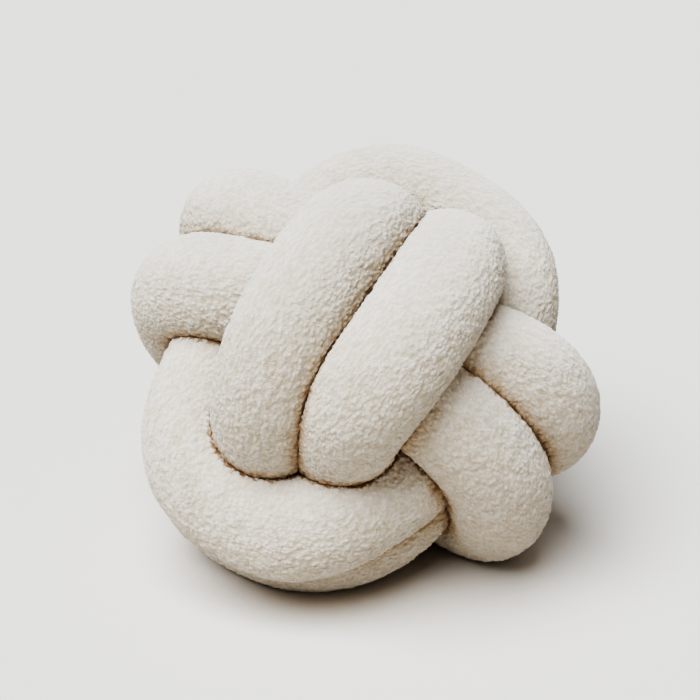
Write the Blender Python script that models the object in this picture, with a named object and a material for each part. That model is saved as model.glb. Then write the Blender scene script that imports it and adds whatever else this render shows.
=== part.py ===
"""Knot cushion: one fat stuffed tube tied into a two-turn monkey's fist.

The tube goes round three bands of two turns each. Every band lies in its own plane and tucks
under the ends of the next one, and both ends of the tube are pushed into the knot's core.
Lengths are in millimetres and angles in degrees until the mesh is made.
"""
from collections import namedtuple

import bmesh
import bpy
import numpy as np
from mathutils import Matrix, Vector

NAME = "knot_cushion"
METRES = 0.001

# The tube
TUBE_RADIUS = 33.5
CORE_RADIUS = 29.0
RADIUS_BLEND = 40.0
CLEARANCE = 1.3
SAME_BEND = 1.2
ROUNDNESS = 12.0
END_ROUNDING = 20.0

# The mesh
SIDES = 20
RING_STEP = 14.0
ROUTE_STEP = 3.0
ROUTE_SMOOTHING = 30

# How the tied knot lies
LEAN = 32.0
TIP = 47.0
FLAT_DEPTH = 4.0

# The knot's axes: u through the front pair, v across its lean, w to the side.
# A band is long on one axis, narrower on the next, and its turns lie side by side on the third.
Band = namedtuple("Band", "name long across side mirror squareness")
BANDS = (
    Band("front", 0, 1, 2, (1, 1, 1), 2.8),
    Band("lower", 1, 2, 0, (-1, -1, 1), 3.0),
    Band("cross", 2, 0, 1, (1, 1, 1), 3.0),
)

# One row for each turn of a band:
#   near, far         how far its two ends reach along the band
#   left, right       how far its two sides lie from the middle
#   near_by, far_by, mid_by   sideways place of its ends and of its sides
#   near_shift, far_shift     how far an end is pushed across the band
#   left_flare, right_flare   how much a side opens towards the near end
Turn = namedtuple(
    "Turn",
    "band near far left right near_by far_by mid_by near_shift far_shift left_flare right_flare",
)
TURNS = (
    Turn("front", 117, 121, 60, 78, 27, 29, 19, 3, 0, -7, 12),
    Turn("front", 120, 105, 70, 60, -38, -30, -22, -12, 10, 2, 4),
    Turn("lower", 114, 115, 65, 58, -36, -30, -24, -20, 12, 6, 6),
    Turn("lower", 123, 106, 63, 73, 16, 31, 26, -5, -6, -11, 2),
    Turn("cross", 118, 114, 69, 64, 28, 32, 24, 10, 0, -2, 14),
    Turn("cross", 117, 114, 74, 69, -28, -24, -20, 8, -22, -4, 0),
)

# The angle at which a band starts, how much of its last turn is missing, and how far
# either side of its middle the step from one turn to the next reaches
START_ANGLE = 3.5
STOP_ANGLE = 3.0
STEP_REACH = 45.0

# Hand-laid points on the hidden stretches in the core, on the knot's axes
TAIL_IN = ((35, -10, 34), (18, -2, 30), (0, 6, 27), (-13, 24, 25), (-6, 48, 24))
FRONT_TO_LOWER = ((8, 40, -22), (-8, 18, -26), (-22, 0, -42))
LOWER_TO_CROSS = ((24, 0, -42), (26, 4, -18), (40, 20, -6))
TAIL_OUT = ((44, -24, 6), (24, -27, 5), (4, -30, 6), (-16, -28, 8), (-30, -12, 2))


def signed_power(values, exponent):
    """Raise each value's size to the exponent and keep its sign."""
    return np.sign(values) * np.abs(values) ** exponent


def turn_points(turn, squareness, angles):
    """One turn of a band as a squared oval, in the band's own three directions."""
    cosine = np.cos(np.radians(angles))
    sine = np.sin(np.radians(angles))
    is_near = cosine > 0
    is_left = sine > 0
    end_weight = cosine**2
    reach = np.where(is_near, turn.near, turn.far)
    flare = np.where(is_left, turn.left_flare, turn.right_flare) * cosine
    half = np.where(is_left, turn.left, turn.right) + flare
    shift = np.where(is_near, turn.near_shift, turn.far_shift) * end_weight
    end_by = np.where(is_near, turn.near_by, turn.far_by) * end_weight
    along = reach * signed_power(cosine, 2 / squareness)
    across = half * signed_power(sine, 2 / squareness) + shift
    beside = end_by + turn.mid_by * sine**2
    return np.stack([along, across, beside], axis=1)


def smooth_step(values):
    """Ease from 0 to 1 as the values go from 0 to 1."""
    values = np.clip(values, 0, 1)
    return values * values * (3 - 2 * values)


def band_points(band):
    """Both turns of a band, the first easing into the second beneath the next band."""
    first, second = (turn for turn in TURNS if turn.band == band.name)
    angles = np.arange(90 - START_ANGLE, -630 + STOP_ANGLE, -2.5)
    share = smooth_step((-angles - 270 + STEP_REACH) / (2 * STEP_REACH))[:, None]
    local = (1 - share) * turn_points(first, band.squareness, angles)
    local += share * turn_points(second, band.squareness, angles)
    points = np.zeros_like(local)
    points[:, [band.long, band.across, band.side]] = local * np.array(band.mirror)
    return points


def spline(points, steps=8):
    """Pass a Catmull-Rom curve through a few points."""
    points = np.asarray(points, float)
    padded = np.vstack([2 * points[0] - points[1], points, 2 * points[-1] - points[-2]])
    t = (np.arange(steps) / steps)[:, None]
    pieces = []
    for p0, p1, p2, p3 in zip(padded, padded[1:], padded[2:], padded[3:]):
        cubic = 3 * p1 - p0 - 3 * p2 + p3
        square = 2 * p0 - 5 * p1 + 4 * p2 - p3
        pieces.append(0.5 * (2 * p1 + (p2 - p0) * t + square * t**2 + cubic * t**3))
    return np.vstack(pieces + [points[-1:]])


def lengths_along(points):
    """The distance from the start of the line to each of its points."""
    gaps = np.linalg.norm(np.diff(points, axis=0), axis=1)
    return np.concatenate([[0], np.cumsum(gaps)])


def read_at(marks, table_marks, table):
    """Read each column of a table at the given marks."""
    return np.stack([np.interp(marks, table_marks, column) for column in table.T], axis=1)


def tube_route():
    """The middle line of the whole tube, with its soft radius at each point."""
    front, lower, cross = (band_points(band) for band in BANDS)
    stretches = (
        (spline(np.vstack([TAIL_IN, front[:1]]))[:-1], CORE_RADIUS),
        (front, TUBE_RADIUS),
        (spline(np.vstack([front[-1:], FRONT_TO_LOWER, lower[:1]]))[1:-1], CORE_RADIUS),
        (lower, TUBE_RADIUS),
        (spline(np.vstack([lower[-1:], LOWER_TO_CROSS, cross[:1]]))[1:-1], CORE_RADIUS),
        (cross, TUBE_RADIUS),
        (spline(np.vstack([cross[-1:], TAIL_OUT]))[1:], CORE_RADIUS),
    )
    points = np.vstack([stretch for stretch, _ in stretches])
    radii = np.concatenate([np.full(len(stretch), radius) for stretch, radius in stretches])

    marks = lengths_along(points)
    even = np.linspace(0, marks[-1], int(round(marks[-1] / ROUTE_STEP)) + 1)
    line = read_at(even, marks, points)
    radii = np.interp(even, marks, radii)
    for _ in range(ROUTE_SMOOTHING):
        line[1:-1] += 0.25 * (line[:-2] - 2 * line[1:-1] + line[2:])
    reach = int(RADIUS_BLEND / ROUTE_STEP)
    window = np.ones(2 * reach + 1) / (2 * reach + 1)
    radii = np.convolve(np.pad(radii, reach, mode="edge"), window, "valid")

    return line, radii


def ring_marks(line):
    """The place of each ring, as a distance along the line."""
    total = lengths_along(line)[-1]
    return np.linspace(0, total, int(round(total / RING_STEP)) + 1)


def ring_axes(line):
    """Two directions square to the line at each point, carried along it without twisting."""
    tangents = np.gradient(line, axis=0)
    tangents /= np.linalg.norm(tangents, axis=1)[:, None]
    normals = np.zeros_like(line)
    normal = np.array([0.0, 0.0, 1.0])
    for index, tangent in enumerate(tangents):
        normal = normal - tangent * (normal @ tangent)
        normal /= np.linalg.norm(normal)
        normals[index] = normal
    return normals, np.cross(tangents, normals)


def pressed_radii(line, radii, rings, normals, binormals):
    """How far the tube's skin lies from its middle line, in each direction round each ring.

    A stretch of tube swells to its soft radius unless it meets another stretch first. The two
    then flatten against the surface where both are equally far from their own middle lines.
    """
    marks = lengths_along(line)
    middles = read_at(rings, marks, line)
    soft = np.interp(rings, marks, radii)
    away = line[None] - middles[:, None]
    squares = (away**2).sum(axis=-1)
    along = np.abs(marks[None] - rings[:, None])
    same_bend = along < SAME_BEND * np.maximum(soft[:, None], radii[None])
    squares = squares + np.where(same_bend, 0, soft[:, None] ** 2 - radii[None] ** 2)
    gap = np.where(same_bend, 0, CLEARANCE)
    result = np.zeros((len(rings), SIDES))
    for side, angle in enumerate(np.arange(SIDES) * 2 * np.pi / SIDES):
        direction = np.cos(angle) * normals + np.sin(angle) * binormals
        facing = np.einsum("sk,stk->st", direction, away)
        limit = np.where(facing > 0.1, squares / np.maximum(2 * facing, 0.1) - gap, np.inf)
        nearest = np.maximum(limit.min(axis=1), 1.0)
        result[:, side] = (soft**-ROUNDNESS + nearest**-ROUNDNESS) ** (-1 / ROUNDNESS)
    return result


def end_taper(rings):
    """Round both ends of the tube off like the end of a sausage."""
    to_end = np.minimum(rings, rings[-1] - rings)
    share = np.clip(to_end / END_ROUNDING, 0, 1)
    return np.sqrt(1 - 0.9 * (1 - share) ** 2)


def knot_to_world():
    """Turn the knot's axes so that the front pair leans, tips up and faces -Y."""
    upright = Matrix(((0, 0, -1), (-1, 0, 0), (0, 1, 0)))
    lean = Matrix.Rotation(np.radians(LEAN), 3, "Y")
    tip = Matrix.Rotation(np.radians(-TIP), 3, "X")
    return np.array(tip @ lean @ upright)


def tube_rings():
    """Every ring of the tube's skin, standing on the floor and centred on the origin."""
    line, radii = tube_route()
    rings = ring_marks(line)
    middles = read_at(rings, lengths_along(line), line)
    normals, binormals = ring_axes(middles)
    skin = pressed_radii(line, radii, rings, normals, binormals) * end_taper(rings)[:, None]
    angles = np.arange(SIDES) * 2 * np.pi / SIDES
    round_it = np.cos(angles)[None, :, None] * normals[:, None]
    round_it = round_it + np.sin(angles)[None, :, None] * binormals[:, None]
    places = (middles[:, None] + skin[..., None] * round_it) @ knot_to_world().T
    places[..., 2] -= places[..., 2].min() + FLAT_DEPTH
    places[..., 2] = np.maximum(places[..., 2], 0)
    low = places.min(axis=(0, 1))
    high = places.max(axis=(0, 1))
    places[..., :2] -= ((low + high) / 2)[:2]
    return places


def fabric_material():
    """Ivory looped wool cloth."""
    material = bpy.data.materials.new("boucle")
    material.use_nodes = True
    shader = material.node_tree.nodes["Principled BSDF"]
    shader.inputs["Base Color"].default_value = (0.78, 0.73, 0.66, 1)
    shader.inputs["Roughness"].default_value = 0.95
    shader.inputs["Metallic"].default_value = 0
    return material


def make_cushion():
    """Extrude a circle from ring to ring along the tube and close both ends."""
    rings = tube_rings() * METRES
    body = bmesh.new()
    first = bmesh.ops.create_circle(body, segments=SIDES, radius=TUBE_RADIUS * METRES)["verts"]
    edges = list(body.edges)
    start_edges = edges
    for vert, place in zip(first, rings[0]):
        vert.co = Vector(place)
    corners = first
    for ring in rings[1:]:
        grown = bmesh.ops.extrude_edge_only(body, edges=edges)["geom"]
        edges = [item for item in grown if isinstance(item, bmesh.types.BMEdge)]
        edges = [edge for edge in edges if edge.is_boundary]
        following = {}
        for corner in corners:
            for edge in corner.link_edges:
                other = edge.other_vert(corner)
                if other in grown:
                    following[corner] = other
        corners = [following[corner] for corner in corners]
        for corner, place in zip(corners, ring):
            corner.co = Vector(place)
    bmesh.ops.contextual_create(body, geom=start_edges)
    bmesh.ops.contextual_create(body, geom=edges)
    bmesh.ops.recalc_face_normals(body, faces=body.faces)
    mesh = bpy.data.meshes.new(NAME)
    body.to_mesh(mesh)
    body.free()
    mesh.shade_smooth()
    mesh.materials.append(fabric_material())
    cushion = bpy.data.objects.new(NAME, mesh)
    bpy.context.scene.collection.objects.link(cushion)
    return cushion


def main():
    """Clear the scene and model the cushion."""
    for item in list(bpy.data.objects):
        bpy.data.objects.remove(item)
    make_cushion()


if __name__ == "__main__":
    main()
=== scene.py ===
"""Knot cushion: one fat stuffed tube of ivory looped cloth, tied into a round two-turn knot.

The tube is modelled as six lengths that meet out of sight, under the turns that cross over them.
Lengths are in millimetres and angles in degrees until a mesh is made, except where a comment says
metres. The settings in the panel, and everything about the curls' looks and the stage, use metres.
"""
from collections import namedtuple

import bmesh
import bpy
import numpy as np
from mathutils import Matrix, Vector


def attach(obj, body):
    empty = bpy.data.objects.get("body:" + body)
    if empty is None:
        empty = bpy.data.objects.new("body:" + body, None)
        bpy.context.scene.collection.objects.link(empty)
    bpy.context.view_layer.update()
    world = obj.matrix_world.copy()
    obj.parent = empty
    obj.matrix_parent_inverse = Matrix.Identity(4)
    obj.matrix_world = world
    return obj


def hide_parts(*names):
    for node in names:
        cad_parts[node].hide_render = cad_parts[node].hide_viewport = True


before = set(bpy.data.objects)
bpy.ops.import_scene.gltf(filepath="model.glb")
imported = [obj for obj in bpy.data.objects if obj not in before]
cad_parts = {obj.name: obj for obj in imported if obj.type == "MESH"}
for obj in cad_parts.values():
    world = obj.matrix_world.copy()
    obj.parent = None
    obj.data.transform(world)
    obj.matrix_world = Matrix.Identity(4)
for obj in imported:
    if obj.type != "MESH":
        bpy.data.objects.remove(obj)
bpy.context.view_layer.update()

bl_info = {
    "name": "Knot Cushion",
    "version": (1, 0, 0),
    "blender": (4, 5, 0),
    "location": "3D View > Sidebar > Knot Cushion",
    "description": "A stuffed tube of looped cloth tied into a round knot",
    "category": "Add Mesh",
}

NODE = "knot_cushion"
METRES = 0.001

# The tube's route: the step between its points, how often and how much they are smoothed, the
# points that a curve puts between two given ones, and the length over which radii blend
ROUTE_STEP = 3.0
ROUTE_SMOOTHING = 30
SMOOTHING_SHARE = 0.25
CURVE_STEPS = 8
RADIUS_BLEND = 40.0

# How the tube meets itself. Places nearer along it than SAME_BEND of its radius are one bend and
# don't press each other. A point of the route presses only if it lies more than LEAST_FACING
# ahead, and never presses the skin nearer than LEAST_REACH to its own middle line. More roundness
# makes the rims of the flats sharper. The skin is worked out for about BATCH places at a time,
# against the route within NEIGHBOUR_REACH of them.
SAME_BEND = 1.2
LEAST_FACING = 0.1
LEAST_REACH = 1.0
ROUNDNESS = 30.0
BATCH = 600
NEIGHBOUR_REACH = 90.0

# How long the rounding at each end of the tube is, and how much it narrows: 1 would be a point
END_ROUNDING = 20.0
END_SHRINK = 0.9

# How the tied knot lies, and how deep its lowest turns are pressed flat by the floor
LEAN = 32.0
TIP = 47.0
FLAT_DEPTH = 4.0

# The knot's axes: u through the front pair, v across its lean, w to the side.
# A band is long on one axis, narrower on the next, and its turns lie side by side on the third.
Band = namedtuple("Band", "name long across side mirror squareness")
BANDS = (
    Band("front", 0, 1, 2, (1, 1, 1), 2.8),
    Band("lower", 1, 2, 0, (-1, -1, 1), 3.0),
    Band("cross", 2, 0, 1, (1, 1, 1), 3.0),
)

# One row for each turn of a band:
#   near, far         how far its two ends reach along the band
#   left, right       how far its two sides lie from the middle
#   near_by, far_by, mid_by   sideways place of its ends and of its sides
#   near_shift, far_shift     how far an end is pushed across the band
#   left_flare, right_flare   how much a side opens towards the near end
Turn = namedtuple(
    "Turn",
    "band near far left right near_by far_by mid_by near_shift far_shift left_flare right_flare",
)
TURNS = (
    Turn("front", 117, 121, 60, 78, 27, 29, 19, 3, 0, -7, 12),
    Turn("front", 120, 105, 70, 60, -38, -30, -22, -12, 10, 2, 4),
    Turn("lower", 114, 115, 65, 58, -36, -30, -24, -20, 12, 6, 6),
    Turn("lower", 123, 106, 63, 73, 16, 31, 26, -5, -6, -11, 2),
    Turn("cross", 118, 114, 69, 64, 28, 32, 24, 10, 0, -2, 14),
    Turn("cross", 117, 114, 74, 69, -28, -24, -20, 8, -22, -4, 0),
)

# The angles at which a band starts and stops and at which its first turn steps over to its
# second, how far either side of its middle that step reaches, and the angle between two points
START_ANGLE = 90 - 3.5
STOP_ANGLE = -630 + 3.0
STEP_ANGLE = -270.0
STEP_REACH = 45.0
POINT_ANGLE = 2.5

# Points on the hidden stretches in the core, on the knot's axes
TAIL_IN = ((35, -10, 34), (18, -2, 30), (0, 6, 27), (-13, 24, 25), (-6, 48, 24))
FRONT_TO_LOWER = ((8, 40, -22), (-8, 18, -26), (-22, 0, -42))
LOWER_TO_CROSS = ((24, 0, -42), (26, 4, -18), (40, 20, -6))
TAIL_OUT = ((44, -24, 6), (24, -27, 5), (4, -30, 6), (-16, -28, 8), (-30, -12, 2))

# The mesh: a cage of rings, cut finer everywhere once and again where the cloth shows. It is
# hidden where it is pressed past HIDDEN_DEPTH or lies within CORE_REACH of the middle.
CAGE_SIDES = 20
CAGE_STEP = 14.0
FIRST_CUTS = 2
SHOWN_CUTS = 4
HIDDEN_DEPTH = -0.6
CORE_REACH = 52.0

# The curls. A scale is beside the width of one curl. BEND_SHARE is of that width, and the other
# shares are of the curls' height.
CURL_SCALE = 1.35
CURL_DISTANCES = (0.05, 0.75)
BEND_SCALE = 0.9
BEND_SHARE = 1.0
FOLD_SCALE = 1.3
FOLD_ROUGHNESS = 0.6
FOLD_WIDTH = 0.2
FOLD_POWER = 0.6
FOLD_SHARE = 0.18
CLUMP_SCALE = 0.35
CLUMP_RANGE = (0.3, 0.7)
CLUMP_SHARE = 0.28

# How the curls are raised, in metres. Room is negative where the cloth is pressed. Skyward is 1
# where the cloth faces straight up. A pair of heights or shares goes with the ends of the pair
# above it. LEVEL is the height of the pattern that stays on the skin, and the curls come in over
# FLOOR_HEIGHTS from the floor up.
LEVEL_ROOM = (-0.001, 0.004)
LEVEL_HEIGHTS = (0.1, 0.6)
FREE_ROOM = (-0.003, -0.0005)
FREE_SHARES = (0.2, 1.0)
FLOOR_HEIGHTS = (0.0, 0.003)
LAIN_SKYWARD = (0.4, 0.9)
LAIN_SHARES = (1.0, 0.7)

# The filaments and fibres on a curl, how the bump follows them, and how matt they are
FILAMENT_SCALE = 2.6
FILAMENT_WIDTH = 0.13
FILAMENT_SHARE = 0.6
FIBRE_SCALE = 4.0
FINE_SHARE = 0.33
BUMP_SHARE = 0.6
BUMP_SKYWARD = (0.4, 0.85)
BUMP_STRENGTHS = (0.9, 0.5)
MATT_FIBRES = (0.2, 0.8)
MATT_SHARES = (0.98, 0.86)

# How the gap colour comes in: as painted shade in the gaps between the curls, by relief, less on
# cloth that faces up and more on cloth that faces down, and as wide random patches of darker tone
GAP_SHADE_RELIEF = (0.95, 0.2)
GAP_SHADE_SKYWARD = (0.9, 0.2)
GAP_SHADE_SHARES = (0.45, 1.0)
PATCH_SCALE = 22.0
PATCH_RANGE = (0.35, 0.7)
PATCH_SHARES = (0.0, 0.15)
UNDER_SHADE_SKYWARD = (0.8, -0.2)
UNDER_SHADE_SHARES = (0.0, 0.18)

# How the painted shade of a crease comes in, in metres of room: warm shade beside it, then a brown
# nip, then the dark pit. All fade over FADE_HEIGHTS, so the painted shade is stronger low down. On
# cloth that faces up the warm shade is weaker and the brown nip narrower. The nip and the pit have
# a ragged edge, because relief above RAGGED_LEVEL holds them back and relief below it lets them
# out.
FADE_HEIGHTS = (0.10, 0.22)
FADE_SHARES = (1.0, 0.35)
WARM_SHADE_ROOM = (0.0005, 0.015)
WARM_SHADE_SKYWARD = (0.65, -0.1)
WARM_SHADE_SHARES = (0.1, 0.8)
CREASE_SHADE_SKYWARD = (0.7, 0.1)
CREASE_SHADE_REACHES = (0.003, 0.0085)
PIT_SHADE_REACH = 0.003
RAGGED_LEVEL = 0.6
RAGGED_REACH = 0.0045

# The stage, in metres: one wide soft light high on the front left, and a weak even fill
FLOOR_RADIUS = 6.0
FLOOR_SIDES = 64
KEY_PLACE = (-0.78, -1.16, 2.9)
KEY_STRENGTH = 4.45
KEY_SPREAD = 46.0
KEY_COLOUR = (0.84, 0.92, 1.0)
FILL_COLOUR = (0.94, 0.97, 1.0)
FILL_STRENGTH = 0.15

# The camera, in metres and millimetres of lens
VIEW_ELEVATION = 25.0
VIEW_DISTANCE = 1.25
VIEW_CENTRE = (0.0004, 0.0036, 0.1234)
VIEW_LENS = 101.7
VIEW_SHIFT = (-0.0206, 0.0254)


# ---------------------------------------------------------------- the tied tube


def signed_power(values, exponent):
    """Raise each value's size to the exponent and keep its sign."""
    return np.sign(values) * np.abs(values) ** exponent


def turn_points(turn, squareness, angles):
    """One turn of a band as a squared oval, in the band's own three directions."""
    cosine = np.cos(np.radians(angles))
    sine = np.sin(np.radians(angles))
    is_near = cosine > 0
    is_left = sine > 0
    end_weight = cosine**2
    reach = np.where(is_near, turn.near, turn.far)
    flare = np.where(is_left, turn.left_flare, turn.right_flare) * cosine
    half = np.where(is_left, turn.left, turn.right) + flare
    shift = np.where(is_near, turn.near_shift, turn.far_shift) * end_weight
    end_by = np.where(is_near, turn.near_by, turn.far_by) * end_weight
    along = reach * signed_power(cosine, 2 / squareness)
    across = half * signed_power(sine, 2 / squareness) + shift
    beside = end_by + turn.mid_by * sine**2
    return np.stack([along, across, beside], axis=1)


def smooth_step(values):
    """Ease from 0 to 1 as the values go from 0 to 1."""
    values = np.clip(values, 0, 1)
    return values * values * (3 - 2 * values)


def band_points(band):
    """Both turns of a band, the first easing into the second beneath the next band."""
    first, second = (turn for turn in TURNS if turn.band == band.name)
    angles = np.arange(START_ANGLE, STOP_ANGLE, -POINT_ANGLE)
    share = smooth_step((STEP_ANGLE - angles + STEP_REACH) / (2 * STEP_REACH))[:, None]
    local = (1 - share) * turn_points(first, band.squareness, angles)
    local += share * turn_points(second, band.squareness, angles)
    points = np.zeros_like(local)
    points[:, [band.long, band.across, band.side]] = local * np.array(band.mirror)
    return points


def spline(points):
    """Pass a Catmull-Rom curve through a few points."""
    points = np.asarray(points, float)
    padded = np.vstack([2 * points[0] - points[1], points, 2 * points[-1] - points[-2]])
    t = (np.arange(CURVE_STEPS) / CURVE_STEPS)[:, None]
    pieces = []
    for p0, p1, p2, p3 in zip(padded, padded[1:], padded[2:], padded[3:]):
        cubic = 3 * p1 - p0 - 3 * p2 + p3
        square = 2 * p0 - 5 * p1 + 4 * p2 - p3
        pieces.append(0.5 * (2 * p1 + (p2 - p0) * t + square * t**2 + cubic * t**3))
    return np.vstack(pieces + [points[-1:]])


def lengths_along(points):
    """The distance from the start of the line to each of its points."""
    gaps = np.linalg.norm(np.diff(points, axis=0), axis=1)
    return np.concatenate([[0], np.cumsum(gaps)])


def read_at(marks, table_marks, table):
    """Read each column of a table at the given marks."""
    return np.stack([np.interp(marks, table_marks, column) for column in table.T], axis=1)


def carried_axes(line):
    """Two directions square to the line at each point, carried along it without twisting."""
    tangents = np.gradient(line, axis=0)
    tangents /= np.linalg.norm(tangents, axis=1)[:, None]
    normals = np.zeros_like(line)
    normal = np.array([0.0, 0.0, 1.0])
    for index, tangent in enumerate(tangents):
        normal = normal - tangent * (normal @ tangent)
        normal /= np.linalg.norm(normal)
        normals[index] = normal
    return normals, np.cross(tangents, normals)


def knot_to_world():
    """Turn the knot's axes so that the front pair leans, tips up and faces -Y."""
    upright = Matrix(((0, 0, -1), (-1, 0, 0), (0, 1, 0)))
    lean = Matrix.Rotation(np.radians(LEAN), 3, "Y")
    tip = Matrix.Rotation(np.radians(-TIP), 3, "X")
    return np.array(tip @ lean @ upright)


class Tube:
    """The tied tube: its middle line, its soft radius, and how far its skin lies from the line."""

    def __init__(self, tube_radius, core_radius, gap):
        self.gap = gap
        front, lower, cross = (band_points(band) for band in BANDS)
        stretches = (
            (spline(np.vstack([TAIL_IN, front[:1]]))[:-1], core_radius),
            (front, tube_radius),
            (spline(np.vstack([front[-1:], FRONT_TO_LOWER, lower[:1]]))[1:-1], core_radius),
            (lower, tube_radius),
            (spline(np.vstack([lower[-1:], LOWER_TO_CROSS, cross[:1]]))[1:-1], core_radius),
            (cross, tube_radius),
            (spline(np.vstack([cross[-1:], TAIL_OUT]))[1:], core_radius),
        )
        points = np.vstack([stretch for stretch, _ in stretches])
        radii = np.concatenate([np.full(len(stretch), r) for stretch, r in stretches])
        marks = lengths_along(points)
        even = np.linspace(0, marks[-1], int(round(marks[-1] / ROUTE_STEP)) + 1)
        self.line = read_at(even, marks, points)
        for _ in range(ROUTE_SMOOTHING):
            bend = self.line[:-2] - 2 * self.line[1:-1] + self.line[2:]
            self.line[1:-1] += SMOOTHING_SHARE * bend
        reach = int(RADIUS_BLEND / ROUTE_STEP)
        window = np.ones(2 * reach + 1) / (2 * reach + 1)
        radii = np.interp(even, marks, radii)
        self.radii = np.convolve(np.pad(radii, reach, mode="edge"), window, "valid")
        self.marks = lengths_along(self.line)
        self.length = self.marks[-1]
        self.normals, self.binormals = carried_axes(self.line)
        self.joins = self.find_joins(stretches, marks)

    def find_joins(self, stretches, marks):
        """Where one length of the tube meets the next: under a crossing turn or in the core.

        Stretches 1, 3 and 5 are the bands, each joined at its step. Stretches 2 and 4 run in the
        core and are joined half way.
        """
        step_index = int((START_ANGLE - STEP_ANGLE) / POINT_ANGLE)
        starts = np.cumsum([0] + [len(stretch) for stretch, _ in stretches])
        indices = [0]
        for number in (1, 2, 3, 4, 5):
            is_band = number % 2 == 1
            half = step_index if is_band else len(stretches[number][0]) // 2
            indices.append(starts[number] + half)
        indices.append(starts[-1] - 1)
        return marks[indices] / marks[-1] * self.length

    def skin(self, along, around):
        """Places on the skin and their room: the distance from each to the nearest other stretch.

        A stretch of tube swells to its soft radius unless it meets another stretch first. The
        two then flatten where both are equally far from their own middle lines.
        """
        middles = read_at(along, self.marks, self.line)
        outward = around[:, :1] * read_at(along, self.marks, self.normals)
        outward += around[:, 1:] * read_at(along, self.marks, self.binormals)
        outward /= np.linalg.norm(outward, axis=1)[:, None]
        soft = np.interp(along, self.marks, self.radii)
        places = np.empty_like(middles)
        room = np.empty(len(along))
        order = np.argsort(along)
        for batch in np.array_split(order, max(1, len(order) // BATCH)):
            middle = middles[batch]
            centre = middle.mean(axis=0)
            near = np.linalg.norm(self.line - centre, axis=1) < NEIGHBOUR_REACH
            line = self.line[near]
            radii = self.radii[near]
            apart = np.abs(along[batch][:, None] - self.marks[near])
            same_bend = apart < SAME_BEND * np.maximum(soft[batch][:, None], radii)
            offset = line - centre
            inner = middle - centre
            squares = (inner**2).sum(1)[:, None] - 2 * inner @ offset.T + (offset**2).sum(1)
            facing = outward[batch] @ offset.T - (outward[batch] * inner).sum(1)[:, None]
            swelled = squares + np.where(same_bend, 0, soft[batch][:, None] ** 2 - radii**2)
            gap = np.where(same_bend, 0, self.gap)
            limit = swelled / np.maximum(2 * facing, LEAST_FACING) - gap
            limit = np.where(facing > LEAST_FACING, limit, np.inf)
            nearest = np.maximum(limit.min(axis=1), LEAST_REACH)
            reach = (soft[batch] ** -ROUNDNESS + nearest**-ROUNDNESS) ** (-1 / ROUNDNESS)
            reach *= self.end_taper(along[batch])
            place = inner + reach[:, None] * outward[batch]
            square = (place**2).sum(1)[:, None] - 2 * place @ offset.T + (offset**2).sum(1)
            clear = np.sqrt(np.maximum(square, 0)) - radii
            room[batch] = np.where(same_bend, np.inf, clear).min(axis=1)
            places[batch] = place + centre
        return places, room

    def end_taper(self, along):
        """Round both ends of the tube off like the end of a sausage."""
        to_end = np.minimum(along, self.length - along)
        share = np.clip(to_end / END_ROUNDING, 0, 1)
        return np.sqrt(1 - END_SHRINK * (1 - share) ** 2)

    def stand(self):
        """Find the turn and the shift that stand the knot on the floor, centred on the origin."""
        turned = knot_to_world()
        rings = np.arange(0, self.length, CAGE_STEP)
        angles = np.arange(CAGE_SIDES) * 2 * np.pi / CAGE_SIDES
        along = np.repeat(rings, CAGE_SIDES)
        around = np.tile(np.stack([np.cos(angles), np.sin(angles)], axis=1), (len(rings), 1))
        places = self.skin(along, around)[0] @ turned.T
        low = places.min(axis=0)
        high = places.max(axis=0)
        centre = (low + high) / 2
        shift = np.array([-centre[0], -centre[1], -low[2] - FLAT_DEPTH])
        return turned, shift


# ---------------------------------------------------------------- the mesh of one length


def cage(tube, start, stop):
    """Extrude a circle from ring to ring; each vertex keeps its place along and around the tube."""
    body = bmesh.new()
    along_layer = body.verts.layers.float.new("along")
    around_x = body.verts.layers.float.new("around_x")
    around_y = body.verts.layers.float.new("around_y")
    circle = bmesh.ops.create_circle(body, segments=CAGE_SIDES, radius=1.0)["verts"]
    for vert in circle:
        vert[around_x] = vert.co.x
        vert[around_y] = vert.co.y
        vert[along_layer] = start
    edges = list(body.edges)
    rings = np.linspace(start, stop, int(round((stop - start) / CAGE_STEP)) + 1)
    for ring in rings[1:]:
        grown = bmesh.ops.extrude_edge_only(body, edges=edges)["geom"]
        for vert in (item for item in grown if isinstance(item, bmesh.types.BMVert)):
            vert[along_layer] = ring
            vert.co.z = ring
        edges = [item for item in grown if isinstance(item, bmesh.types.BMEdge)]
        edges = [edge for edge in edges if edge.is_boundary]
    return body


def read_layers(body):
    """Where every vertex lies along the tube and, as a unit arrow, around it."""
    layers = [body.verts.layers.float[name] for name in ("along", "around_x", "around_y")]
    table = np.array([[vert[layer] for layer in layers] for vert in body.verts])
    return table[:, 0], table[:, 1:]


def cut_shown_cloth(body, tube):
    """Cut the cage finer once everywhere, then again where the cloth shows."""
    bmesh.ops.subdivide_edges(body, edges=body.edges, cuts=FIRST_CUTS, use_grid_fill=True)
    along, around = read_layers(body)
    places, room = tube.skin(along, around)
    shown = (room > HIDDEN_DEPTH) & (np.linalg.norm(places, axis=1) > CORE_REACH)
    body.verts.index_update()
    edges = [edge for edge in body.edges if any(shown[vert.index] for vert in edge.verts)]
    bmesh.ops.subdivide_edges(body, edges=edges, cuts=SHOWN_CUTS, use_grid_fill=True)


def close_ends(body):
    """Fill the two open ends with a flat face each."""
    bmesh.ops.holes_fill(body, edges=[edge for edge in body.edges if edge.is_boundary], sides=0)
    bmesh.ops.recalc_face_normals(body, faces=body.faces)


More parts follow.
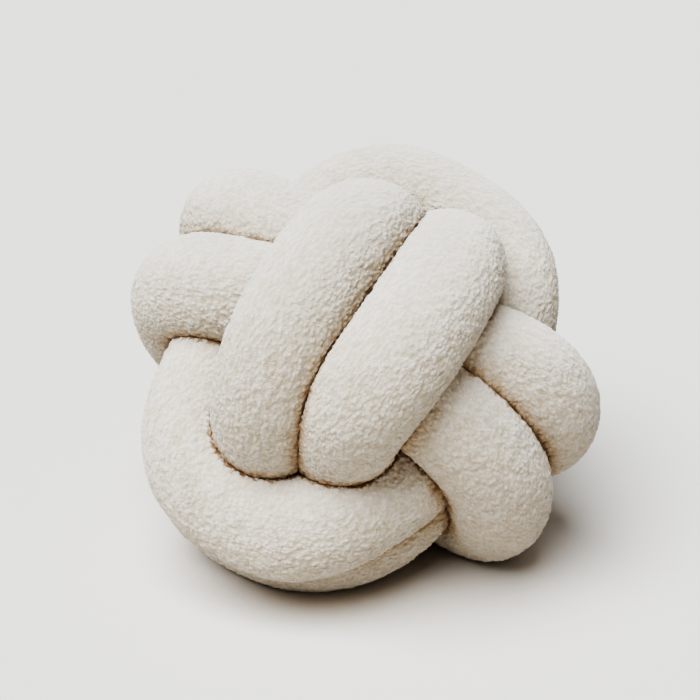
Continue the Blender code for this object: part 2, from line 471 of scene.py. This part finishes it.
def make_length(name, number, sizes):
    """Model one length of the tube and hang it under the root body."""
    tube = Tube(sizes.tube_radius / METRES, sizes.core_radius / METRES, sizes.gap / METRES)
    turned, shift = tube.stand()
    body = cage(tube, tube.joins[number], tube.joins[number + 1])
    cut_shown_cloth(body, tube)
    along, around = read_layers(body)
    places, room = tube.skin(along, around)
    places = places @ turned.T + shift
    places[:, 2] = np.maximum(places[:, 2], 0)
    for vert, place in zip(body.verts, places * METRES):
        vert.co = Vector(place)
    close_ends(body)
    mesh = bpy.data.meshes.new(name)
    body.to_mesh(mesh)
    body.free()
    mesh.shade_smooth()
    keep_attributes(mesh, room)
    mesh.materials.append(boucle_material())
    piece = bpy.data.objects.new(name, mesh)
    bpy.context.scene.collection.objects.link(piece)
    raise_curls(piece, sizes)
    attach(piece, "root")
    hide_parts(NODE)
    return piece


def keep_attributes(mesh, room):
    """Keep what the curls and the material read: place before the curls, room and skyward."""
    for name in ("along", "around_x", "around_y"):
        mesh.attributes.remove(mesh.attributes[name])
    count = len(mesh.vertices)
    places = np.empty(count * 3, np.float32)
    mesh.vertices.foreach_get("co", places)
    rest = mesh.attributes.new("rest", "FLOAT_VECTOR", "POINT")
    rest.data.foreach_set("vector", places)
    clear = mesh.attributes.new("room", "FLOAT", "POINT")
    clear.data.foreach_set("value", (room * METRES).astype(np.float32))
    normals = np.empty(count * 3, np.float32)
    mesh.vertex_normals.foreach_get("vector", normals)
    skyward = mesh.attributes.new("skyward", "FLOAT", "POINT")
    skyward.data.foreach_set("value", np.ascontiguousarray(normals[2::3]))


# ---------------------------------------------------------------- the curls


def link(tree, output, target):
    """Join an output, or set a plain value."""
    if isinstance(output, (int, float, tuple)):
        target.default_value = output
    else:
        tree.links.new(output, target)


def maths(tree, operation, *values):
    """A Math node; values are sockets or numbers."""
    node = tree.nodes.new("ShaderNodeMath")
    node.operation = operation
    for value, target in zip(values, node.inputs):
        link(tree, value, target)
    return node.outputs[0]


def vector_maths(tree, operation, first, second):
    """A Vector Math node with two inputs."""
    node = tree.nodes.new("ShaderNodeVectorMath")
    node.operation = operation
    link(tree, first, node.inputs[0])
    target = "Scale" if operation == "SCALE" else 1
    link(tree, second, node.inputs[target])
    return node.outputs[0]


def spread(tree, value, low, high, new_low=0.0, new_high=1.0, smooth=False):
    """Map a range of values to another, clamped."""
    node = tree.nodes.new("ShaderNodeMapRange")
    node.interpolation_type = "SMOOTHSTEP" if smooth else "LINEAR"
    link(tree, value, node.inputs["Value"])
    for name, number in zip(
        ("From Min", "From Max", "To Min", "To Max"), (low, high, new_low, new_high)
    ):
        link(tree, number, node.inputs[name])
    return node.outputs["Result"]


def noise(tree, vector, scale, detail=2.0, roughness=0.5, output="Fac"):
    """A Noise Texture node."""
    node = tree.nodes.new("ShaderNodeTexNoise")
    link(tree, vector, node.inputs["Vector"])
    link(tree, scale, node.inputs["Scale"])
    node.inputs["Detail"].default_value = detail
    node.inputs["Roughness"].default_value = roughness
    return node.outputs[output]


def off_middle(tree, wave):
    """How far a noise is from its middle value, 0.5."""
    return maths(tree, "ABSOLUTE", maths(tree, "SUBTRACT", wave, 0.5))


def curl_pattern(tree, place, curl_size):
    """The height of the looped yarn, from 0 in the gaps between the curls to 1 on their backs.

    The curls are cells that a noise bends out of shape and a second noise creases. They lie in
    clumps, some higher than others.
    """
    scale = maths(tree, "DIVIDE", CURL_SCALE, curl_size)
    bend = noise(tree, place, maths(tree, "MULTIPLY", scale, BEND_SCALE), output="Color")
    bend = vector_maths(tree, "SUBTRACT", bend, (0.5, 0.5, 0.5))
    bend = vector_maths(tree, "SCALE", bend, maths(tree, "MULTIPLY", curl_size, BEND_SHARE))
    cells = tree.nodes.new("ShaderNodeTexVoronoi")
    link(tree, vector_maths(tree, "ADD", place, bend), cells.inputs["Vector"])
    link(tree, scale, cells.inputs["Scale"])
    curl = spread(tree, cells.outputs["Distance"], *CURL_DISTANCES, 1.0, 0.0)
    wave = noise(tree, place, maths(tree, "MULTIPLY", scale, FOLD_SCALE), 2.0, FOLD_ROUGHNESS)
    fold = spread(tree, off_middle(tree, wave), 0.0, FOLD_WIDTH)
    fold = maths(tree, "POWER", fold, FOLD_POWER)
    clump = noise(tree, place, maths(tree, "MULTIPLY", scale, CLUMP_SCALE), 1.0)
    clump = spread(tree, clump, *CLUMP_RANGE)
    height = maths(tree, "MULTIPLY", curl, 1 - FOLD_SHARE - CLUMP_SHARE)
    height = maths(tree, "ADD", height, maths(tree, "MULTIPLY", fold, FOLD_SHARE))
    return maths(tree, "ADD", height, maths(tree, "MULTIPLY", clump, CLUMP_SHARE))


def kept_value(tree, name, kind="FLOAT"):
    """In geometry nodes, read a value kept on the mesh."""
    node = tree.nodes.new("GeometryNodeInputNamedAttribute")
    node.data_type = kind
    node.inputs["Name"].default_value = name
    return node.outputs[0]


def height_above_floor(tree, place):
    """The height of a place, which is its Z."""
    split = tree.nodes.new("ShaderNodeSeparateXYZ")
    link(tree, place, split.inputs[0])
    return split.outputs["Z"]


def curl_tree():
    """Geometry nodes that push the skin out by the height of its curls.

    They are lower where the cloth is pressed or faces up, and flat where it stands on the floor.
    """
    found = bpy.data.node_groups.get("Raise curls")
    if found:
        return found
    tree = bpy.data.node_groups.new("Raise curls", "GeometryNodeTree")
    tree.interface.new_socket("Geometry", in_out="INPUT", socket_type="NodeSocketGeometry")
    for name in ("Curl size", "Curl height"):
        tree.interface.new_socket(name, in_out="INPUT", socket_type="NodeSocketFloat")
    tree.interface.new_socket("Geometry", in_out="OUTPUT", socket_type="NodeSocketGeometry")
    source = tree.nodes.new("NodeGroupInput")
    result = tree.nodes.new("NodeGroupOutput")
    place = kept_value(tree, "rest", "FLOAT_VECTOR")
    room = kept_value(tree, "room")
    height = curl_pattern(tree, place, source.outputs["Curl size"])
    level = spread(tree, room, *LEVEL_ROOM, *LEVEL_HEIGHTS)
    middle = maths(tree, "SUBTRACT", height, level)
    free = spread(tree, room, *FREE_ROOM, *FREE_SHARES)
    off_floor = spread(tree, height_above_floor(tree, place), *FLOOR_HEIGHTS)
    lain = spread(tree, kept_value(tree, "skyward"), *LAIN_SKYWARD, *LAIN_SHARES)
    push = maths(tree, "MULTIPLY", middle, source.outputs["Curl height"])
    push = maths(tree, "MULTIPLY", push, maths(tree, "MULTIPLY", free, off_floor))
    push = maths(tree, "MULTIPLY", push, lain)
    normal = tree.nodes.new("GeometryNodeInputNormal")
    offset = vector_maths(tree, "SCALE", normal.outputs[0], push)
    move = tree.nodes.new("GeometryNodeSetPosition")
    tree.links.new(source.outputs["Geometry"], move.inputs["Geometry"])
    tree.links.new(offset, move.inputs["Offset"])
    tree.links.new(move.outputs["Geometry"], result.inputs["Geometry"])
    return tree


def raise_curls(piece, sizes):
    """Add the curls to a piece."""
    modifier = piece.modifiers.new("Curls", "NODES")
    modifier.node_group = curl_tree()
    for item in modifier.node_group.interface.items_tree:
        if item.name == "Curl size":
            modifier[item.identifier] = sizes.curl_size
        if item.name == "Curl height":
            modifier[item.identifier] = sizes.curl_height


# ---------------------------------------------------------------- materials


def mixed(tree, factor, first, second):
    """Mix two colours by a factor."""
    node = tree.nodes.new("ShaderNodeMix")
    node.data_type = "RGBA"
    link(tree, factor, node.inputs[0])
    link(tree, first, node.inputs[6])
    link(tree, second, node.inputs[7])
    return node.outputs[2]


def attribute(tree, name, output="Fac"):
    """In a material, read a value kept on the mesh."""
    node = tree.nodes.new("ShaderNodeAttribute")
    node.attribute_name = name
    return node.outputs[output]


def cloth_relief(tree, place, fibres, sizes):
    """The curls with the twisted filaments and the fibres that lie on them."""
    height = curl_pattern(tree, place, sizes.curl_size)
    winding = noise(tree, place, FILAMENT_SCALE / sizes.curl_size, 1.5)
    filament = spread(tree, off_middle(tree, winding), FILAMENT_WIDTH, 0.0)
    fine = maths(tree, "ADD", maths(tree, "MULTIPLY", filament, FILAMENT_SHARE), fibres)
    return maths(tree, "ADD", height, maths(tree, "MULTIPLY", fine, FINE_SHARE))


def cloth_colour_and_shade(tree, place, relief, skyward, colours):
    """Pale curls, painted shade in the gaps between them and under the cloth, and darker patches.
    """
    gaps = (*colours.gaps, 1)
    # Painted shade in the gaps between the curls, weaker where the cloth faces up
    gap_shade_facing = spread(tree, skyward, *GAP_SHADE_SKYWARD, *GAP_SHADE_SHARES)
    gap = maths(tree, "MULTIPLY", spread(tree, relief, *GAP_SHADE_RELIEF), gap_shade_facing)
    body = mixed(tree, gap, (*colours.wool, 1), gaps)
    patch = noise(tree, place, PATCH_SCALE, 1.0)
    body = mixed(tree, spread(tree, patch, *PATCH_RANGE, *PATCH_SHARES), body, gaps)
    # Painted shade on cloth that faces down
    return mixed(tree, spread(tree, skyward, *UNDER_SHADE_SKYWARD, *UNDER_SHADE_SHARES), body, gaps)


def crease_shade(tree, body, place, relief, skyward, colours):
    """Painted crease shade: warm beside it, then brown where the turns nip, then the dark pit."""
    room = attribute(tree, "room")
    # Painted crease shade is full low on the cushion and weaker towards the top
    low = spread(tree, height_above_floor(tree, place), *FADE_HEIGHTS, *FADE_SHARES)
    # Painted warm shade beside a crease, stronger where the cloth faces down
    warm = spread(tree, room, *WARM_SHADE_ROOM, 1.0, 0.0, smooth=True)
    facing = spread(tree, skyward, *WARM_SHADE_SKYWARD, *WARM_SHADE_SHARES, smooth=True)
    warm = maths(tree, "MULTIPLY", maths(tree, "MULTIPLY", warm, facing), low)
    body = mixed(tree, warm, body, (*colours.shade, 1))
    # Painted shade deep in a crease: the brown nip, then the dark pit, narrower where the cloth
    # faces up
    ragged = maths(tree, "SUBTRACT", relief, RAGGED_LEVEL)
    ragged = maths(tree, "ADD", room, maths(tree, "MULTIPLY", ragged, RAGGED_REACH))
    reach = spread(tree, skyward, *CREASE_SHADE_SKYWARD, *CREASE_SHADE_REACHES, smooth=True)
    nip = spread(tree, ragged, 0.0, reach, low, 0.0, smooth=True)
    body = mixed(tree, nip, body, (*colours.crease, 1))
    pit = spread(tree, ragged, 0.0, PIT_SHADE_REACH, low, 0.0, smooth=True)
    return mixed(tree, pit, body, (*colours.pit, 1))


def boucle_material():
    """Ivory looped wool: pale curls, warm painted shade in the gaps and below, brown in creases."""
    found = bpy.data.materials.get("Ivory boucle")
    if found:
        return found
    sizes = bpy.context.scene.knot_cushion_sizes
    colours = bpy.context.scene.knot_cushion_colours
    material = bpy.data.materials.new("Ivory boucle")
    material.use_nodes = True
    tree = material.node_tree
    shader = tree.nodes["Principled BSDF"]
    place = attribute(tree, "rest", "Vector")
    skyward = attribute(tree, "skyward")
    fibres = noise(tree, place, FIBRE_SCALE / sizes.curl_size, 2.0)
    relief = cloth_relief(tree, place, fibres, sizes)
    body = cloth_colour_and_shade(tree, place, relief, skyward, colours)
    body = crease_shade(tree, body, place, relief, skyward, colours)
    link(tree, body, shader.inputs["Base Color"])

    bump = tree.nodes.new("ShaderNodeBump")
    link(tree, spread(tree, skyward, *BUMP_SKYWARD, *BUMP_STRENGTHS), bump.inputs["Strength"])
    link(tree, sizes.curl_height * BUMP_SHARE, bump.inputs["Distance"])
    link(tree, relief, bump.inputs["Height"])
    link(tree, bump.outputs["Normal"], shader.inputs["Normal"])
    link(tree, spread(tree, fibres, *MATT_FIBRES, *MATT_SHARES), shader.inputs["Roughness"])
    shader.inputs["Specular IOR Level"].default_value = 0.2
    shader.inputs["Sheen Weight"].default_value = 0.25
    shader.inputs["Sheen Roughness"].default_value = 0.5
    shader.inputs["Diffuse Roughness"].default_value = 1.0
    return material


def floor_material():
    """Plain matt paper."""
    material = bpy.data.materials.new("White paper")
    material.use_nodes = True
    shader = material.node_tree.nodes["Principled BSDF"]
    shader.inputs["Base Color"].default_value = (*bpy.context.scene.knot_cushion_colours.floor, 1)
    shader.inputs["Roughness"].default_value = 0.9
    shader.inputs["Specular IOR Level"].default_value = 0.0
    return material


# ---------------------------------------------------------------- what a user would change


class KnotCushionSizes(bpy.types.PropertyGroup):
    """Sizes of the tube and its cloth."""

    tube_radius: bpy.props.FloatProperty(
        name="Tube radius", description="Radius of the stuffed tube where nothing presses on it",
        default=0.0335, subtype="DISTANCE", unit="LENGTH",
    )
    core_radius: bpy.props.FloatProperty(
        name="Core radius", description="Radius of the tube where it runs through the core",
        default=0.029, subtype="DISTANCE", unit="LENGTH",
    )
    gap: bpy.props.FloatProperty(
        name="Press gap", description="Room left on each side where two turns press together",
        default=0.0002, subtype="DISTANCE", unit="LENGTH",
    )
    curl_size: bpy.props.FloatProperty(
        name="Curl size", description="Width of one curl of the looped yarn",
        default=0.0036, subtype="DISTANCE", unit="LENGTH",
    )
    curl_height: bpy.props.FloatProperty(
        name="Curl height", description="How far a curl stands up from the gaps beside it",
        default=0.0023, subtype="DISTANCE", unit="LENGTH",
    )


class KnotCushionColours(bpy.types.PropertyGroup):
    """Colours of the cloth, of the shade painted on it, and of the floor."""

    wool: bpy.props.FloatVectorProperty(
        name="Wool", description="Backs of the curls", subtype="COLOR",
        default=(0.82, 0.75, 0.655), min=0, max=1,
    )
    # Painted shade between the curls and on cloth that faces down, and the tone of random patches
    gaps: bpy.props.FloatVectorProperty(
        name="Gaps", description="Between the curls", subtype="COLOR",
        default=(0.61, 0.495, 0.335), min=0, max=1,
    )
    # Painted warm shade beside a crease
    shade: bpy.props.FloatVectorProperty(
        name="Shade", description="Wool beside a crease", subtype="COLOR",
        default=(0.64, 0.505, 0.335), min=0, max=1,
    )
    # Painted brown shade where two turns nip together
    crease: bpy.props.FloatVectorProperty(
        name="Crease", description="Where two turns nip together", subtype="COLOR",
        default=(0.49, 0.32, 0.17), min=0, max=1,
    )
    pit: bpy.props.FloatVectorProperty(
        name="Pit", description="Deepest in a crease, where no light comes", subtype="COLOR",
        default=(0.33, 0.18, 0.08), min=0, max=1,
    )
    floor: bpy.props.FloatVectorProperty(
        name="Floor", description="The paper that the cushion lies on", subtype="COLOR",
        default=(0.82, 0.755, 0.68), min=0, max=1,
    )


# ---------------------------------------------------------------- one operator for each group


class KNOT_OT_front_turns(bpy.types.Operator):
    """Model the two lengths that make the front pair."""

    bl_idname = "knot_cushion.front_turns"
    bl_label = "Front turns"

    def execute(self, context):
        make_length("front_turn_one", 0, context.scene.knot_cushion_sizes)
        make_length("front_turn_two", 1, context.scene.knot_cushion_sizes)
        return {"FINISHED"}


class KNOT_OT_lower_turns(bpy.types.Operator):
    """Model the two lengths that sweep below and around the front pair."""

    bl_idname = "knot_cushion.lower_turns"
    bl_label = "Lower turns"

    def execute(self, context):
        make_length("lower_turn_one", 2, context.scene.knot_cushion_sizes)
        make_length("lower_turn_two", 3, context.scene.knot_cushion_sizes)
        return {"FINISHED"}


class KNOT_OT_cross_turns(bpy.types.Operator):
    """Model the two lengths that pass from side to side."""

    bl_idname = "knot_cushion.cross_turns"
    bl_label = "Cross turns"

    def execute(self, context):
        make_length("cross_turn_one", 4, context.scene.knot_cushion_sizes)
        make_length("cross_turn_two", 5, context.scene.knot_cushion_sizes)
        return {"FINISHED"}


def point_at(thing, place, target):
    """Put a camera or a light at a place and turn it to a target."""
    thing.location = place
    thing.rotation_euler = (Vector(target) - Vector(place)).to_track_quat("-Z", "Y").to_euler()


class KNOT_OT_stage(bpy.types.Operator):
    """Lay the floor and set the lights and the camera."""

    bl_idname = "knot_cushion.stage"
    bl_label = "Stage"

    def execute(self, context):
        scene = context.scene
        body = bmesh.new()
        bmesh.ops.create_circle(body, cap_ends=True, segments=FLOOR_SIDES, radius=FLOOR_RADIUS)
        mesh = bpy.data.meshes.new("floor")
        body.to_mesh(mesh)
        body.free()
        mesh.materials.append(floor_material())
        floor = bpy.data.objects.new("floor", mesh)
        scene.collection.objects.link(floor)

        key = bpy.data.lights.new("key", "SUN")
        key.energy = KEY_STRENGTH
        key.angle = np.radians(KEY_SPREAD)
        key.color = KEY_COLOUR
        key_object = bpy.data.objects.new("key", key)
        scene.collection.objects.link(key_object)
        point_at(key_object, KEY_PLACE, VIEW_CENTRE)

        world = bpy.data.worlds.new("Studio")
        scene.world = world
        world.use_nodes = True
        background = world.node_tree.nodes["Background"]
        background.inputs["Color"].default_value = (*FILL_COLOUR, 1)
        background.inputs["Strength"].default_value = FILL_STRENGTH

        camera = bpy.data.cameras.new("camera")
        camera.lens = VIEW_LENS
        camera.shift_x, camera.shift_y = VIEW_SHIFT
        camera_object = bpy.data.objects.new("camera", camera)
        scene.collection.objects.link(camera_object)
        tilt = np.radians(VIEW_ELEVATION)
        back = Vector((0, -np.cos(tilt), np.sin(tilt)))
        centre = Vector(VIEW_CENTRE)
        point_at(camera_object, centre + back * VIEW_DISTANCE, centre)
        scene.camera = camera_object

        # AgX keeps the wool's colour in full light, and its strongest look keeps the creases deep
        scene.view_settings.view_transform = "AgX"
        scene.view_settings.look = "AgX - Very High Contrast"
        return {"FINISHED"}


class KNOT_PT_panel(bpy.types.Panel):
    """The cushion's pieces, sizes and colours."""

    bl_label = "Knot Cushion"
    bl_idname = "KNOT_PT_panel"
    bl_space_type = "VIEW_3D"
    bl_region_type = "UI"
    bl_category = "Knot Cushion"

    def draw(self, context):
        layout = self.layout
        for operator in OPERATORS:
            layout.operator(operator.bl_idname)
        for group in (context.scene.knot_cushion_sizes, context.scene.knot_cushion_colours):
            for name in group.bl_rna.properties.keys():
                if name not in ("rna_type", "name"):
                    layout.prop(group, name)


OPERATORS = (KNOT_OT_front_turns, KNOT_OT_lower_turns, KNOT_OT_cross_turns, KNOT_OT_stage)
GROUPS = (KnotCushionSizes, KnotCushionColours)


def register():
    """Register the classes and hang the settings on the scene."""
    for item in (*GROUPS, *OPERATORS, KNOT_PT_panel):
        bpy.utils.register_class(item)
    bpy.types.Scene.knot_cushion_sizes = bpy.props.PointerProperty(type=KnotCushionSizes)
    bpy.types.Scene.knot_cushion_colours = bpy.props.PointerProperty(type=KnotCushionColours)


def unregister():
    """Take the settings and the classes away."""
    del bpy.types.Scene.knot_cushion_colours
    del bpy.types.Scene.knot_cushion_sizes
    for item in reversed((*GROUPS, *OPERATORS, KNOT_PT_panel)):
        bpy.utils.unregister_class(item)


def main():
    """Model the cushion and its stage."""
    register()
    bpy.ops.knot_cushion.stage()
    bpy.ops.knot_cushion.front_turns()
    bpy.ops.knot_cushion.lower_turns()
    bpy.ops.knot_cushion.cross_turns()


if __name__ == "__main__":
    main()
